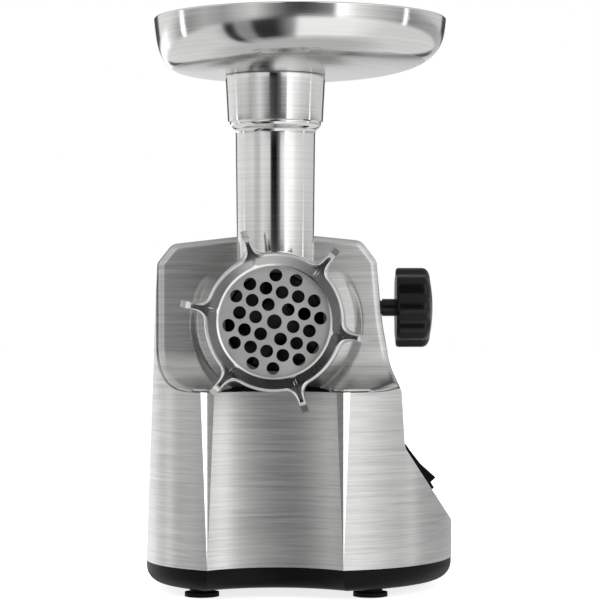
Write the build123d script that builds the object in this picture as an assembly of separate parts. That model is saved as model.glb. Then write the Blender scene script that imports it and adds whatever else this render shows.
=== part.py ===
from build123d import *

import math
import os

# Electric meat grinder: brushed-steel motor housing, aluminium grinding head and round hopper tray.
#
# Frame: +X is the machine's right as its user faces it, +Y runs from the outlet to the back, +Z is up.
# The origin lies on the table, under the middle of the whole machine. Sizes are in millimetres.
# Pieces are drawn with Y measured from the feed tube's axis, and moved into the row frame on export.

# ---------------------------------------------------------------- driving dimensions
# Housing
BODY_WIDTH = 175.0          # across the foot of the housing
BODY_BACK = 186.0           # feed tube's axis to the back of the rear cover
BODY_TOP = 202.2            # crown of the housing
SEAM_Z = 17.3               # where the steel housing meets the black base
WALL = 2.2                  # housing, fascia and rear cover
SEAM_GAP = 0.25             # between neighbouring covers
REAR_COVER_DEPTH = 30.0
LEFT_SIDE_Y = 58.0          # where the left lobe turns straight back
RIGHT_SIDE_Y = 79.0         # where the wider right lobe turns straight back
REAR_CORNER_R = 34.0
RIDGE_HALF = 37.0           # head axis to each front ridge
RIDGE_Y = -4.0
PANEL_SAG = 16.0            # depth of the hollow front panel
RIB_WIDTH = 3.7             # half width of a ridge's rib at its top
RIB_RISE = 2.6              # how far the rib stands out at its top

# Scooped fascia behind the grinding head
FASCIA_Y = 24.0
LEDGE_Z = 116.4
SCOOP_R = 22.0
DISH_R = 48.3
DISH_Z = 152.0
DISH_FADE_Z = 182.0         # the dish's sloping floor meets the fascia here
DISH_SLOPE = 1 / 6
DISH_ROUND = 8.0

# Base and feet
BASE_Z = 5.0
BASE_WALL = 3.0
FOOT_R = 9.6
FOOT_FLANGE = 2.3
FOOT_NECK_R = 6.7
FOOT_SCREW_R = 1.9
FRONT_FEET_Y = 25.0
REAR_FEET_Y = 150.0
FEET_FRONT_X = (-54.5, 39.1)
FEET_REAR_X = (-54.5, 56.0)

# Grinding head
HEAD_X = -13.4
HEAD_Z = 153.0
BARREL_R = 31.0
CHAMBER_R = 26.0
THREAD_R = 34.0
BARREL_FRONT_Y = -48.5
THREAD_END_Y = -33.0
SPIGOT_R = 29.0
SHOULDER_Y = 37.6
SPIGOT_END_Y = 54.0
HEAD_WALL_Y = 44.0          # inside of the barrel's rear wall
FEED_BORE_R = 18.5
TUBE_R_LOW = 20.6
TUBE_R_HIGH = 21.9
COLLAR_Z = 261.0
COLLAR_TOP = 286.5
COLLAR_R_LOW = 25.9
COLLAR_R_HIGH = 27.25
COLLAR_FLOOR = 264.0
SPIGOT_CLEAR = 0.2          # head spigot in its socket
BUSH_R = 11.0
JOURNAL_R = 8.0

# Cutting plate, knife and auger
PLATE_R = 31.0
PLATE_T = 5.0
PLATE_CLEAR = 0.2
HOLE_R = 3.4
PIN_HOLE_R = 3.9
PIN_R = 3.82
HOLE_PITCH = 8.73
ROW_PITCH = 7.95
PLATE_TURN = -14.7          # the hole rows' slope
AUGER_R = 25.2
AUGER_PITCH = 26.0
FLIGHT_T = 3.0
CORE_R = 10.5
KNIFE_R = 24.6
KNIFE_T = 6.0
KNIFE_SQUARE = 9.0
RUN_GAP = 0.1               # axial gap between plate, knife and auger

# Retaining ring
RING_FRONT_Y = -54.0
RING_DEPTH = 17.0
RING_LIP = 4.4
RING_APERTURE_R = 29.0
RING_R_FRONT = 36.2
RING_R_BACK = 37.6
LUG_TIP_FRONT = 46.0
LUG_TIP_BACK = 51.0
LUG_COUNT = 6
LUG_TURN = -11.0
RING_CLEAR = 0.25

# Hopper tray
TRAY_R = 79.5
TRAY_TOP = 317.0
TRAY_T = 1.2
TRAY_NECK_R = 26.0
TRAY_SPIGOT_R = 22.9
TRAY_THROAT_R = 21.0
TRAY_SPIGOT_DROP = 20.0
TRAY_SPIGOT_CLEAR = 0.3

# Clamp knob
KNOB_Z = 160.2
KNOB_Y = 46.5
KNOB_R = 22.4
KNOB_FACE_X = 54.0
KNOB_T = 20.8
KNOB_LOBES = 8
STEM_R = 4.9
STUD_R = 4.0
STUD_CLEAR = 0.05
BODY_SIDE_X = 44.9          # housing's right side at the knob

# Rocker switch on the right-hand slope
SLOPE_TOP = (57.9, 83.0)
SLOPE_FOOT_Z = 37.5
SWITCH_U = 17.5             # down the slope from its top
SWITCH_Y = 70.0
BEZEL_L, BEZEL_W, BEZEL_T = 29.0, 22.0, 1.6
ROCKER_L, ROCKER_W = 21.4, 15.0
ROCKER_TILT = 10.0
SWITCH_BODY_DEPTH = 19.0

# Gear train: module, pinion teeth, gear teeth, face width
STAGE_1 = (0.8, 12, 60, 7.0)
STAGE_2 = (1.25, 13, 42, 8.0)
STAGE_3 = (2.0, 12, 36, 12.0)
ADDENDUM = 0.72             # in modules
DEDENDUM = 1.1
BACKLASH = 0.14             # each tooth's thinning at the pitch circle
PRESSURE = math.radians(20)
MOTOR_X, MOTOR_Z = 12.0, 66.0
STAGE_1_BEARING = math.radians(125)
GEARBOX_Y = 55.0            # front plate
PLATE_THICK = 4.0
GEAR_3_Y = 62.0
GEAR_2_Y = 76.0
GEAR_1_Y = 86.0
GEARBOX_END_Y = 95.0
SOCKET_R = 13.0
HUB_FLATS = 13.5
HUB_CLEAR = 0.25
HUB_END_Y = 66.0
SHAFT_R = 4.0

# Motor
STATOR_R = 42.0
STATOR_BORE = 23.6
ROTOR_R = 23.0
STACK_Y = (124.0, 152.0)
MOTOR_SHAFT_R = 4.0
BEARING_R = 9.5
BEARING_T = 6.0
FAN_R = 34.0
BRACKET_T = 3.0
BRACKET_FRONT_Y = 99.0
BRACKET_REAR_Y = 172.0
COMMUTATOR_R = 11.0

PILLARS = ((-62.0, 150.0), (33.0, 143.0), (-60.0, 74.0), (44.8, 99.4))
SOCKET_TUBE_R = 33.5
STUD_TIP_X = 15.9           # clear of the spigot's curve
BASE_ROUND = 9.0
FIT = 0.05                  # running and seating fits
TRAY_STEPS = 16

# Vents and cord gland
VENT_ROWS = 8
VENT_Z = 70.0
VENT_PITCH = 10.0
VENT_SLOT = 3.5
VENT_HALF = 36.0
GLAND_R = 7.5
GLAND_L = 16.0
GLAND_XZ = (-42.0, 40.0)
CORD_R = 4.0

HALF = BODY_WIDTH / 2
FEED_Y = (TRAY_R - BODY_BACK) / 2       # feed tube's axis in the row frame
PLATE_FACE_Y = RING_FRONT_Y + RING_LIP  # where the ring's lip bears on the plate
PLATE_BACK_Y = PLATE_FACE_Y + PLATE_T
KNIFE_Y = PLATE_BACK_Y + RUN_GAP
AUGER_FRONT_Y = KNIFE_Y + KNIFE_T + RUN_GAP
TRAY_BOTTOM = COLLAR_TOP + RUN_GAP
BORE_FOOT_Z = HEAD_Z + CHAMBER_R + 1.5  # the feed tube's straight bore starts above the auger


# ---------------------------------------------------------------- helpers
def prism_y(sketch, y0, y1):
    """A sketch drawn in X and Z, extruded from y0 to y1."""
    return extrude(Plane.XZ.offset(-y1) * sketch, y1 - y0, dir=(0, -1, 0))


def prism_z(sketch, z0, z1):
    return extrude(Plane.XY.offset(z0) * sketch, z1 - z0, dir=(0, 0, 1))


def rod_y(radius, y0, y1, x=HEAD_X, z=HEAD_Z):
    return Pos(x, (y0 + y1) / 2, z) * Rot(90, 0, 0) * Cylinder(radius, y1 - y0)


def rod_x(radius, x0, x1, y, z):
    return Pos((x0 + x1) / 2, y, z) * Rot(0, 90, 0) * Cylinder(radius, x1 - x0)


def rod_z(radius, z0, z1, x=HEAD_X, y=0.0):
    return Pos(x, y, (z0 + z1) / 2) * Cylinder(radius, z1 - z0)


def tube_y(outer, inner, y0, y1, x=HEAD_X, z=HEAD_Z):
    return rod_y(outer, y0, y1, x, z) - rod_y(inner, y0 - 1, y1 + 1, x, z)


def block(x0, x1, y0, y1, z0, z1):
    return Pos((x0 + x1) / 2, (y0 + y1) / 2, (z0 + z1) / 2) * Box(x1 - x0, y1 - y0, z1 - z0)


def polar(radius, angle, x=0.0, z=0.0):
    """A point at radius and angle in degrees, about (x, z)."""
    return (x + radius * math.cos(math.radians(angle)), z + radius * math.sin(math.radians(angle)))


def ring_of(count, radius, turn, x, z):
    """The centres of count things evenly spaced on a circle, in X and Z."""
    return [polar(radius, turn + 360 * i / count, x, z) for i in range(count)]


def shrunk(face, inset):
    """The face with its edge moved inwards, facing the same way."""
    if not inset:
        return face
    smaller = offset(face, -inset, kind=Kind.INTERSECTION).face()
    return smaller if smaller.normal_at().dot(face.face().normal_at()) > 0 else -smaller


# ---------------------------------------------------------------- housing outlines
def plan_outline(inset=0.0):
    """The housing seen from above: two lobes, a hollow front panel between them and a round-cornered back."""
    ridge_left, ridge_right = (HEAD_X - RIDGE_HALF, RIDGE_Y), (HEAD_X + RIDGE_HALF, RIDGE_Y)
    panel = ThreePointArc(ridge_left, (HEAD_X, RIDGE_Y + PANEL_SAG), ridge_right)
    right = TangentArc((HALF, RIGHT_SIDE_Y), ridge_right, tangent=(0, -1))
    left = TangentArc((-HALF, LEFT_SIDE_Y), ridge_left, tangent=(0, -1))
    back = FilletPolyline(
        (HALF, RIGHT_SIDE_Y),
        (HALF, BODY_BACK),
        (-HALF, BODY_BACK),
        (-HALF, LEFT_SIDE_Y),
        radius=REAR_CORNER_R,
    )
    face = make_face([*panel.edges(), *right.edges(), *left.edges(), *back.edges()])
    return shrunk(face, inset)


def front_outline(inset=0.0):
    """The housing seen from the front: an upright left side and a right side that flares to the foot."""
    below = -30.0
    corners = [
        ((-HALF - 1.2, below), 2.0),
        ((-HALF + 8.1, BODY_TOP - 17.3), 4.0),
        ((-HALF + 16.5, BODY_TOP - 6.7), 7.0),
        ((HEAD_X, BODY_TOP), 250.0),
        ((33.9, BODY_TOP - 4.8), 7.0),
        ((42.5, BODY_TOP - 16.2), 5.0),
        ((45.6, 152.0), 120.0),
        ((50.0, 128.5), 40.0),
        ((56.0, LEDGE_Z - 2.4), 4.0),
        (SLOPE_TOP, 9.0),
        ((HALF + 0.8, SLOPE_FOOT_Z - 1.2), 7.0),
        ((HALF + 0.8, below), 2.0),
    ]
    line = FilletPolyline(*[p for p, _ in corners], radius=[r for _, r in corners], close=True)
    face = make_face(line.edges())
    return shrunk(face, inset)


def body_solid(inset=0.0):
    """The housing's bulk above the seam. inset gives its hollow."""
    low = SEAM_Z if not inset else SEAM_Z - 1
    upright = prism_z(plan_outline(inset), low, BODY_TOP + 10)
    return upright & prism_y(front_outline(inset), -40, BODY_BACK + 10)


def ridge_rib(side):
    """A rib on a front ridge that rises from nothing at the seam to its full section at the ledge."""
    x = HEAD_X + side * RIDGE_HALF
    back = RIDGE_Y + 5.0
    top = Polyline((x - RIB_WIDTH, back), (x, RIDGE_Y - RIB_RISE), (x + RIB_WIDTH, back), close=True)
    small = 0.1
    foot = Polyline((x - small, back), (x, RIDGE_Y - 0.05), (x + small, back), close=True)
    low_face = Plane.XY.offset(SEAM_Z) * make_face(foot.edges())
    high_face = Plane.XY.offset(LEDGE_Z) * make_face(top.edges())
    return loft([low_face, high_face], ruled=True)


def scoop(grow=0.0):
    """What the fascia's hollow takes out of the housing: an upright face that rounds forward to the ledge,
    and a round dish about the head whose floor slopes inwards. grow thickens it for the wall behind."""
    face_y, ledge, radius = FASCIA_Y + grow, LEDGE_Z - grow, SCOOP_R + grow
    front, top = -60.0, BODY_TOP + 40
    outline = [
        Line((face_y, top), (face_y, ledge + radius)),
        TangentArc((face_y, ledge + radius), (face_y - radius, ledge), tangent=(0, -1)),
        Line((face_y - radius, ledge), (front, ledge)),
        Line((front, ledge), (front, top)),
        Line((front, top), (face_y, top)),
    ]
    profile = Plane.YZ.offset(-HALF - 40) * make_face([e for piece in outline for e in piece.edges()])
    hollow = extrude(profile, BODY_WIDTH + 80, dir=(1, 0, 0))
    drum = Pos(HEAD_X, 20, DISH_Z) * Rot(90, 0, 0) * Cylinder(DISH_R + grow, 60)
    deep = grow * math.sqrt(1 + DISH_SLOPE**2)
    floor_top = FASCIA_Y + deep - DISH_SLOPE * (DISH_Z + 70 - DISH_FADE_Z)
    floor_low = FASCIA_Y + deep - DISH_SLOPE * (DISH_Z - 70 - DISH_FADE_Z)
    wedge = Polyline(
        (floor_top, DISH_Z + 70), (floor_low, DISH_Z - 70), (-30, DISH_Z - 70), (-30, DISH_Z + 70), close=True
    )
    ahead = extrude(Plane.YZ.offset(HEAD_X - 80) * make_face(wedge.edges()), 160, dir=(1, 0, 0))
    dish = drum & ahead
    floor = dish.faces().filter_by(GeomType.PLANE).sort_by(Axis.Y)[-1]
    dish = fillet(floor.edges(), DISH_ROUND + grow)
    return hollow + (dish & block(-200, 200, -60, 80, ledge, 400))


def socket_hole():
    return rod_y(BARREL_R + 0.6, 0, GEARBOX_Y - 1)


def stud_hole():
    return rod_x(STEM_R + 0.9, HEAD_X + 36, KNOB_FACE_X, KNOB_Y, KNOB_Z)


def slope_frame():
    """Unit vectors down the slope and out of it, and the switch's centre, in X and Z."""
    run, drop = HALF - SLOPE_TOP[0], SLOPE_TOP[1] - SLOPE_FOOT_Z
    length = math.hypot(run, drop)
    down, out = (run / length, -drop / length), (drop / length, run / length)
    centre = (SLOPE_TOP[0] + down[0] * SWITCH_U, SLOPE_TOP[1] + down[1] * SWITCH_U)
    return down, out, centre


def on_slope(shape):
    """Places a shape drawn with +X down the slope, +Z out of it and the switch's centre at the origin."""
    down, out, centre = slope_frame()
    origin = (centre[0], SWITCH_Y, centre[1])
    plane = Plane(origin=origin, x_dir=(down[0], 0, down[1]), z_dir=(out[0], 0, out[1]))
    return plane.location * shape


def covers():
    """Housing shell, fascia and rear cover: one skin, split at the scoop and near the back."""
    outer, inner = body_solid(), body_solid(WALL)
    for side in (-1, 1):
        outer += ridge_rib(side)
    carved = outer - scoop()
    skin = carved - (inner - scoop(WALL))
    split = BODY_BACK - REAR_COVER_DEPTH
    behind = block(-200, 200, split, 300, -50, 400)
    rear = skin & Pos(0, SEAM_GAP, 0) * behind
    fascia = (carved & scoop(WALL)) - socket_hole()
    shell = skin - scoop(WALL + SEAM_GAP) - behind
    shell -= stud_hole()
    cutout = on_slope(Box(BEZEL_L - 3, BEZEL_W - 3, 20))
    shell -= cutout
    return shell, fascia, rear


def rear_details(rear):
    """Vent slots in the rear cover, and the cord gland's hole."""
    for row in range(VENT_ROWS):
        z = VENT_Z + row * VENT_PITCH
        rear -= block(-VENT_HALF, VENT_HALF, BODY_BACK - 8, BODY_BACK + 5, z, z + VENT_SLOT)
    return rear - rod_y(GLAND_R + FIT, BODY_BACK - 8, BODY_BACK + 5, *GLAND_XZ)


def cord_gland():
    """Gland with an inner flange; the cord's bore runs through it."""
    face = BODY_BACK
    body = rod_y(GLAND_R, face - GLAND_L, face, *GLAND_XZ)
    body += rod_y(GLAND_R + 2.5, face - WALL - 3.1, face - WALL - 0.1, *GLAND_XZ)
    return body - rod_y(CORD_R, face - GLAND_L - 1, face + 1, *GLAND_XZ)


# ---------------------------------------------------------------- base
def foot_centres():
    return [(x, FRONT_FEET_Y) for x in FEET_FRONT_X] + [(x, REAR_FEET_Y) for x in FEET_REAR_X]


def base_tray():
    """Shallow tray under the housing, with strongly rounded lower edges and a boss over each foot."""
    top = SEAM_Z - 0.2
    body = prism_z(plan_outline(0.3), BASE_Z, top)
    low = body.edges().group_by(Axis.Z)[0]
    body = fillet(low, BASE_ROUND)
    body -= prism_z(plan_outline(BASE_WALL + 0.3), BASE_Z + BASE_WALL, top + 1)
    for x, y in foot_centres():
        body += rod_z(FOOT_NECK_R, BASE_Z + 1, top - 4, x, y)
        body -= rod_z(FOOT_SCREW_R + 0.4, BASE_Z - 2, top, x, y)
    return body


def feet():
    pads = []
    for x, y in foot_centres():
        pad = rod_z(FOOT_R, 0, FOOT_FLANGE, x, y) + rod_z(FOOT_NECK_R, FOOT_FLANGE, BASE_Z - 0.1, x, y)
        pad -= rod_z(4.2, -1, 1.6, x, y) + rod_z(FOOT_SCREW_R + 0.4, 0, BASE_Z, x, y)
        pads.append(pad)
    return Compound(pads)


def foot_screws():
    screws = []
    for x, y in foot_centres():
        screws.append(rod_z(3.8, 0.3, 1.5, x, y) + rod_z(FOOT_SCREW_R + 0.1, 1.5, SEAM_Z - 2.5, x, y))
    return Compound(screws)


# ---------------------------------------------------------------- switch
def switch_bezel():
    frame = Pos(0, 0, BEZEL_T / 2 + 0.1) * Box(BEZEL_L, BEZEL_W, BEZEL_T)
    frame = fillet(frame.edges().filter_by(Axis.Z), 2.0)
    frame = chamfer(frame.faces().sort_by(Axis.Z)[-1].edges(), 0.5)
    return on_slope(frame - Box(ROCKER_L + 0.8, ROCKER_W + 0.8, 8))


def switch_body():
    """Switch's works behind the bezel, with a pocket for the rocker and two spade terminals."""
    body = Pos(0, 0, -SWITCH_BODY_DEPTH / 2) * Box(BEZEL_L - 3.6, BEZEL_W - 3.6, SWITCH_BODY_DEPTH)
    body -= Pos(0, 0, -3.5) * Box(ROCKER_L + 0.8, ROCKER_W + 0.8, 7.2)
    for x in (-6, 6):
        body += Pos(x, 0, -SWITCH_BODY_DEPTH - 3) * Box(0.8, 4.8, 8)
    return on_slope(body)


def switch_rocker():
    """Rocker pressed at its upper end; it turns about an axis along Y, just under the bezel."""
    half = ROCKER_L / 2
    shape = Polyline((-half, 2.0), (0, 1.0), (half, 2.0), (half, -2.0), (0, -4.0), (-half, -2.0), close=True)
    rocker = extrude(Plane.XZ.offset(-ROCKER_W / 2) * make_face(shape.edges()), ROCKER_W)
    return on_slope(Pos(0, 0, 1.6) * Rot(0, -ROCKER_TILT, 0) * rocker)


# ---------------------------------------------------------------- clamp
def clamp_bush():
    """Threaded guide between the socket and the housing's side."""
    bush = rod_x(8.0, HEAD_X + 20, BODY_SIDE_X, KNOB_Y, KNOB_Z) & body_solid(WALL + 0.1)
    bush -= rod_y(SOCKET_TUBE_R + 0.1, 20, 80)
    return bush - rod_x(STUD_R + STUD_CLEAR, -40, 80, KNOB_Y, KNOB_Z)


def clamp_stud():
    """Stud whose tip stops just clear of the head's spigot, with a thicker stem behind the knob."""
    stud = rod_x(STUD_R, STUD_TIP_X, KNOB_FACE_X + 12, KNOB_Y, KNOB_Z)
    return stud + rod_x(STEM_R, BODY_SIDE_X + 1.5, KNOB_FACE_X - 0.1, KNOB_Y, KNOB_Z)


def clamp_knob():
    """Lobed grip with a flat inner face and a rounded outer end."""
    knob = rod_x(KNOB_R, KNOB_FACE_X, KNOB_FACE_X + KNOB_T, KNOB_Y, KNOB_Z)
    outer = knob.faces().sort_by(Axis.X)[-1].edges()
    knob = fillet(outer, 6.0)
    for i in range(KNOB_LOBES):
        a = 2 * math.pi * (i + 0.5) / KNOB_LOBES
        y, z = KNOB_Y + (KNOB_R + 2.6) * math.cos(a), KNOB_Z + (KNOB_R + 2.6) * math.sin(a)
        knob -= rod_x(5.0, KNOB_FACE_X - 1, KNOB_FACE_X + KNOB_T + 1, y, z)
    return knob - rod_x(STUD_R + 0.05, KNOB_FACE_X - 1, KNOB_FACE_X + 12.1, KNOB_Y, KNOB_Z)


# ---------------------------------------------------------------- grinding head
def grinder_head():
    """One casting: barrel, threaded front, rear spigot, feed tube and collar."""
    body = rod_y(BARREL_R, THREAD_END_Y, SHOULDER_Y) + rod_y(THREAD_R, BARREL_FRONT_Y, THREAD_END_Y)
    body += rod_y(SPIGOT_R, SHOULDER_Y, SPIGOT_END_Y)
    low, high = HEAD_Z + 10, COLLAR_Z
    body += Pos(HEAD_X, 0, (low + high) / 2) * Cone(TUBE_R_LOW, TUBE_R_HIGH, high - low)
    flare = Pos(HEAD_X, 0, COLLAR_Z - 2) * Cone(TUBE_R_HIGH, COLLAR_R_LOW, 4)
    collar_h = COLLAR_TOP - COLLAR_Z
    collar = Pos(HEAD_X, 0, COLLAR_Z + collar_h / 2) * Cone(COLLAR_R_LOW, COLLAR_R_HIGH, collar_h)
    body += flare + collar
    body -= rod_y(CHAMBER_R, PLATE_BACK_Y - 1, HEAD_WALL_Y)
    body -= rod_y(PLATE_R + PLATE_CLEAR, BARREL_FRONT_Y - 1, PLATE_BACK_Y)
    body -= rod_y(BUSH_R, 0, SPIGOT_END_Y + 1)
    body -= rod_z(FEED_BORE_R, HEAD_Z, COLLAR_FLOOR + 1)
    body -= rod_z(FEED_BORE_R + 1, HEAD_Z, BORE_FOOT_Z)
    body -= rod_z(TRAY_SPIGOT_R + TRAY_SPIGOT_CLEAR, COLLAR_FLOOR, COLLAR_TOP + 1)
    return body


def head_bush():
    return tube_y(BUSH_R - 0.03, JOURNAL_R + 0.05, HEAD_WALL_Y, SPIGOT_END_Y - 0.2)


def hole_centres():
    """The plate's holes, in rows along the turned direction."""
    rows = [(0, (10.17, 18.9)), (1, (5.38, 14.1, 22.85)), (2, (0, HOLE_PITCH, 2 * HOLE_PITCH)), (3, (5.5,))]
    points = set()
    for row, along in rows:
        for side in (-1, 1):
            for u in along:
                points |= {(u, side * row * ROW_PITCH), (-u, side * row * ROW_PITCH)}
    turn = math.radians(PLATE_TURN)
    c, s = math.cos(turn), math.sin(turn)
    return [(HEAD_X + u * c - v * s, HEAD_Z + u * s + v * c) for u, v in sorted(points)]


def cutting_plate():
    plate = tube_y(PLATE_R, PIN_HOLE_R, PLATE_FACE_Y, PLATE_BACK_Y)
    cutters = [rod_y(HOLE_R, PLATE_FACE_Y - 1, PLATE_BACK_Y + 1, x, z) for x, z in hole_centres()]
    return plate - cutters


def knife():
    """Four-armed knife with a square hole."""
    y0, y1 = KNIFE_Y, KNIFE_Y + KNIFE_T
    body = rod_y(8.6, y0, y1)
    arm = block(HEAD_X, HEAD_X + KNIFE_R, y0, y1, HEAD_Z - 3.4, HEAD_Z + 3.4)
    for i in range(4):
        body += arm.rotate(Axis((HEAD_X, 0, HEAD_Z), (0, 1, 0)), 20 + 90 * i)
    body &= rod_y(KNIFE_R, y0, y1)
    return body - square_bar(KNIFE_SQUARE + 0.2, y0 - 1, y1 + 1)


def square_bar(side, y0, y1):
    bar = block(-side / 2, side / 2, y0, y1, -side / 2, side / 2)
    return Pos(HEAD_X, 0, HEAD_Z) * bar


def hex_bar(flats, y0, y1):
    outline = Pos(HEAD_X, HEAD_Z) * RegularPolygon(flats / 2, 6, major_radius=False)
    return prism_y(outline, y0, y1)


def feed_screw():
    """Auger: core, one flight, square shank and pin in front, journal and hexagonal tail behind."""
    front, back = AUGER_FRONT_Y, HEAD_WALL_Y - 0.4
    length = back - front
    path = Helix(pitch=AUGER_PITCH, height=length - FLIGHT_T - 1, radius=AUGER_R / 2 + 5)
    rise = AUGER_PITCH / (2 * math.pi * (AUGER_R / 2 + 5))
    across = Plane(origin=path @ 0, x_dir=(1, 0, 0), z_dir=(0, 1, rise))
    reach = AUGER_R - CORE_R + 3
    flight = sweep(across * Rectangle(reach, FLIGHT_T), path=path, is_frenet=True)
    flight = Pos(HEAD_X, front + FLIGHT_T / 2 + 0.5, HEAD_Z) * Rot(-90, 0, 0) * flight
    body = rod_y(CORE_R, front, back) + flight
    body &= rod_y(AUGER_R, front, back)
    body += square_bar(KNIFE_SQUARE, KNIFE_Y + 0.2, front)
    body += rod_y(PIN_R, PLATE_FACE_Y + 0.4, KNIFE_Y + 1)
    body += rod_y(JOURNAL_R, back, SPIGOT_END_Y)
    return body + hex_bar(HUB_FLATS - 2 * HUB_CLEAR, SPIGOT_END_Y, HUB_END_Y - 0.5)


def lug_section(tip, y):
    """One lug across: wide at the root, hollow-sided, with a small blunt tip."""
    root, base_half, tip_half = 33.0, 8.5, 1.9
    middle = (root + tip) / 2 - 1.5
    right = ThreePointArc((root, -base_half), (middle, -3.2), (tip, -tip_half))
    left = ThreePointArc((tip, tip_half), (middle, 3.2), (root, base_half))
    end = Line((tip, -tip_half), (tip, tip_half))
    back = Line((root, base_half), (root, -base_half))
    face = make_face([right.edge(), end.edge(), left.edge(), back.edge()])
    return Plane.XZ.offset(-y) * face


def ring_nut():
    """Retaining ring with a lightly dished face and swept lugs."""
    y0, y1 = RING_FRONT_Y, RING_FRONT_Y + RING_DEPTH
    bore = THREAD_R + RING_CLEAR + 0.05
    outline = Polyline(
        (RING_APERTURE_R, PLATE_FACE_Y),
        (RING_APERTURE_R, y0 + 0.9),
        (RING_R_FRONT - 0.7, y0),
        (RING_R_FRONT, y0 + 0.5),
        (RING_R_BACK, y1),
        (bore, y1),
        (bore, PLATE_FACE_Y),
        close=True,
    )
    ring = revolve(make_face(outline.edges()), Axis.Y)
    lug = loft([lug_section(LUG_TIP_FRONT, y0 + 1.0), lug_section(LUG_TIP_BACK, y1 - 1.0)], ruled=True)
    lug -= rod_y(bore + 0.5, y0 - 5, y1 + 5, 0, 0)
    for i in range(LUG_COUNT):
        ring += Rot(0, -(LUG_TURN + 360 * i / LUG_COUNT), 0) * lug
    return Pos(HEAD_X, 0, HEAD_Z) * ring


# ---------------------------------------------------------------- hopper tray
def bowl(inset):
    """The tray's bulk, from a floor round the tube's axis to the wide rim; inset gives its hollow.
    Its wall is a quarter of a cubic superellipse: a flat floor, a tight turn and a nearly upright side."""
    bottom, top = TRAY_BOTTOM + inset, TRAY_TOP
    sections = []
    for i in range(TRAY_STEPS + 1):
        turn = math.pi / 2 * i / TRAY_STEPS
        swell = math.sin(turn) ** (2 / 3)
        rise = 1 - max(math.cos(turn), 0) ** (2 / 3)
        radius = TRAY_NECK_R + (TRAY_R - TRAY_NECK_R) * swell - inset
        z = bottom + (top - bottom) * rise + (1 if inset and i == TRAY_STEPS else 0)
        sections.append(Pos(HEAD_X * (1 - swell), 0, z) * Circle(radius))
    return loft([s.face() for s in sections], ruled=True)


def hopper_tray():
    """Thin bowl with a spigot that drops into the collar."""
    body = bowl(0.0) + rod_z(TRAY_SPIGOT_R, TRAY_BOTTOM - TRAY_SPIGOT_DROP, TRAY_BOTTOM + 1)
    body -= bowl(TRAY_T)
    return body - rod_z(TRAY_THROAT_R, TRAY_BOTTOM - TRAY_SPIGOT_DROP - 1, TRAY_BOTTOM + 5)


# ---------------------------------------------------------------- gear train
def pitch_radii(stage):
    module, small, large, _ = stage
    return module * small / 2, module * large / 2


def centre_distance(stage):
    return sum(pitch_radii(stage))


def gear_centres():
    """Centres of the first and second compound gears, from the motor and the output."""
    c1, c2, c3 = (centre_distance(stage) for stage in (STAGE_1, STAGE_2, STAGE_3))
    first = (MOTOR_X + c1 * math.cos(STAGE_1_BEARING), MOTOR_Z + c1 * math.sin(STAGE_1_BEARING))
    dx, dz = first[0] - HEAD_X, first[1] - HEAD_Z
    span = math.hypot(dx, dz)
    along = (c3**2 - c2**2 + span**2) / (2 * span)
    aside = math.sqrt(c3**2 - along**2)
    ux, uz = dx / span, dz / span
    second = (HEAD_X + along * ux + aside * uz, HEAD_Z + along * uz - aside * ux)
    return first, second


def bearing_between(a, b):
    return math.atan2(b[1] - a[1], b[0] - a[0])


def mate_phase(phase, teeth, mate_teeth, bearing):
    """The angle of a tooth of a mate that lies at bearing from a gear whose tooth is at phase."""
    return bearing + math.pi + math.pi / mate_teeth - (phase - bearing) * teeth / mate_teeth


def toothed(module, teeth, y0, y1, centre, phase):
    """An involute spur wheel with flat-sided steps along each flank."""
    pitch = module * teeth / 2
    base, tip, root = pitch * math.cos(PRESSURE), pitch + ADDENDUM * module, pitch - DEDENDUM * module
    start = max(base, root)
    radii = [start + (tip - start) * i / 4 for i in range(5)]
    inv = math.tan(PRESSURE) - PRESSURE
    flank = []
    for r in radii:
        angle = math.acos(min(1, base / r))
        flank.append((r, (math.pi * module / 2 - BACKLASH) / (2 * pitch) + inv - (math.tan(angle) - angle)))
    if root < base:
        flank.insert(0, (root, flank[0][1]))
    points = []
    for i in range(teeth):
        middle = phase + 2 * math.pi * i / teeth
        points += [(r, middle - half) for r, half in flank]
        points += [(r, middle + half) for r, half in reversed(flank)]
    corners = [(centre[0] + r * math.cos(a), centre[1] + r * math.sin(a)) for r, a in points]
    return prism_y(make_face(Polyline(*corners, close=True).edges()), y0, y1)


def train():
    """Phases of every wheel, meshed in turn from the output to the motor."""
    first, second = gear_centres()
    output, motor = (HEAD_X, HEAD_Z), (MOTOR_X, MOTOR_Z)
    steps = [(output, second, STAGE_3), (second, first, STAGE_2), (first, motor, STAGE_1)]
    return [
        (a, b, stage, mate_phase(0.0, stage[2], stage[1], bearing_between(a, b)))
        for a, b, stage in steps
    ]


def output_gear():
    """Slow wheel whose hub runs in the front plate and takes the auger's tail."""
    module, _, teeth, width = STAGE_3
    body = toothed(module, teeth, GEAR_3_Y, GEAR_3_Y + width, (HEAD_X, HEAD_Z), 0.0)
    body += rod_y(SOCKET_R, GEARBOX_Y, GEAR_3_Y)
    body += rod_y(SHAFT_R, GEAR_3_Y, GEARBOX_END_Y + PLATE_THICK - 0.5)
    return body - hex_bar(HUB_FLATS, GEARBOX_Y - 1, HUB_END_Y)


def compound_gear(centre, wheel, wheel_y, pinion, pinion_y, phase):
    """A wheel and a pinion on one shaft."""
    body = toothed(wheel[0], wheel[2], wheel_y, wheel_y + wheel[3], centre, 0.0)
    body += toothed(pinion[0], pinion[1], pinion_y, wheel_y, centre, phase)
    return body + rod_y(SHAFT_R, GEARBOX_Y + 0.5, GEARBOX_END_Y + PLATE_THICK - 0.5, *centre)


def second_gear():
    first, second = gear_centres()
    return compound_gear(second, STAGE_2, GEAR_2_Y, STAGE_3, GEAR_3_Y, train()[0][3])


def first_gear():
    first, second = gear_centres()
    return compound_gear(first, STAGE_1, GEAR_1_Y, STAGE_2, GEAR_2_Y, train()[1][3])


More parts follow.
